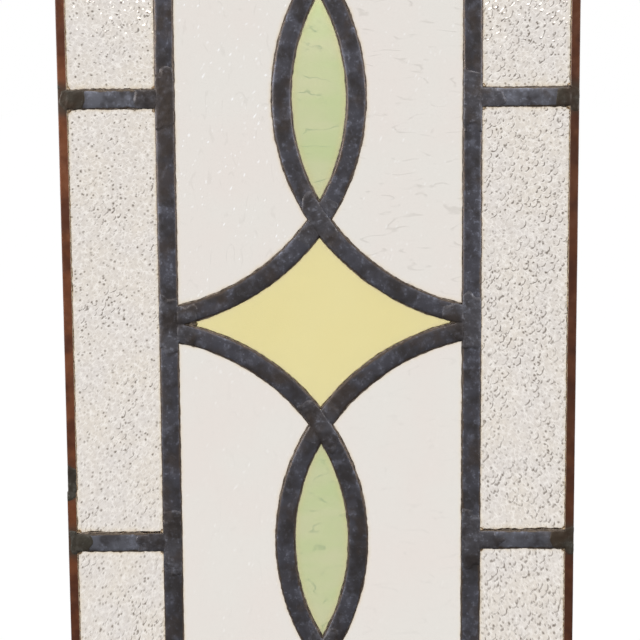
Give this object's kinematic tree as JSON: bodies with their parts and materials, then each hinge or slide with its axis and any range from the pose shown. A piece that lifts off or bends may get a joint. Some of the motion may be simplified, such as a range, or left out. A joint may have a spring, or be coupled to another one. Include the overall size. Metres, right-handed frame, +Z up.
{
  "type": "leaded glass window panel",
  "caption": "Upright leaded light: clear, green and yellow glass panes in an interlaced almond and diamond pattern of lead cames, with textured glass side borders and a metal edge channel.",
  "frame": {"origin": "middle of the bottom edge's outer face, half way through the panel's thickness", "axes": "+Z up the panel, +X to the right as its front is looked at, front towards -Y"},
  "size_m": [0.2805, 0.0076, 0.4974],
  "materials": {
    "lead_came": "dark patinated lead and solder",
    "edge_metal": "brown patina, satin",
    "field_glass": "clear, faintly seeded and rippled",
    "border_glass": "clear, pebbled relief",
    "yellow_glass": "opalescent, smooth",
    "green_glass": "streaky opalescent, smooth"
  },
  "bodies": {
    "root": {"long_came_left": "lead_came", "long_came_right": "lead_came", "border_bar_upper_left": "lead_came", "border_bar_upper_right": "lead_came", "border_bar_lower_left": "lead_came", "border_bar_lower_right": "lead_came", "ogee_came_upper": "lead_came", "ogee_came_top": "lead_came", "ogee_came_lower": "lead_came", "ogee_came_bottom": "lead_came", "arm_came_upper_left": "lead_came", "arm_came_lower_right": "lead_came", "arm_came_top_right": "lead_came", "arm_came_bottom_left": "lead_came", "edge_channel_left_lower": "edge_metal", "edge_channel_left_upper": "edge_metal", "edge_channel_top": "edge_metal", "edge_channel_right": "edge_metal", "edge_channel_bottom": "edge_metal", "field_pane_upper_left": "field_glass", "field_pane_upper_right": "field_glass", "field_pane_lower_left": "field_glass", "field_pane_lower_right": "field_glass", "border_pane_top_left": "border_glass", "border_pane_top_right": "border_glass", "border_pane_middle_left": "border_glass", "border_pane_middle_right": "border_glass", "border_pane_bottom_left": "border_glass", "border_pane_bottom_right": "border_glass", "diamond_pane": "yellow_glass", "half_diamond_pane_top": "yellow_glass", "half_diamond_pane_bottom": "yellow_glass", "almond_pane_upper": "green_glass", "almond_pane_lower": "green_glass"}
  },
  "joints": []
}
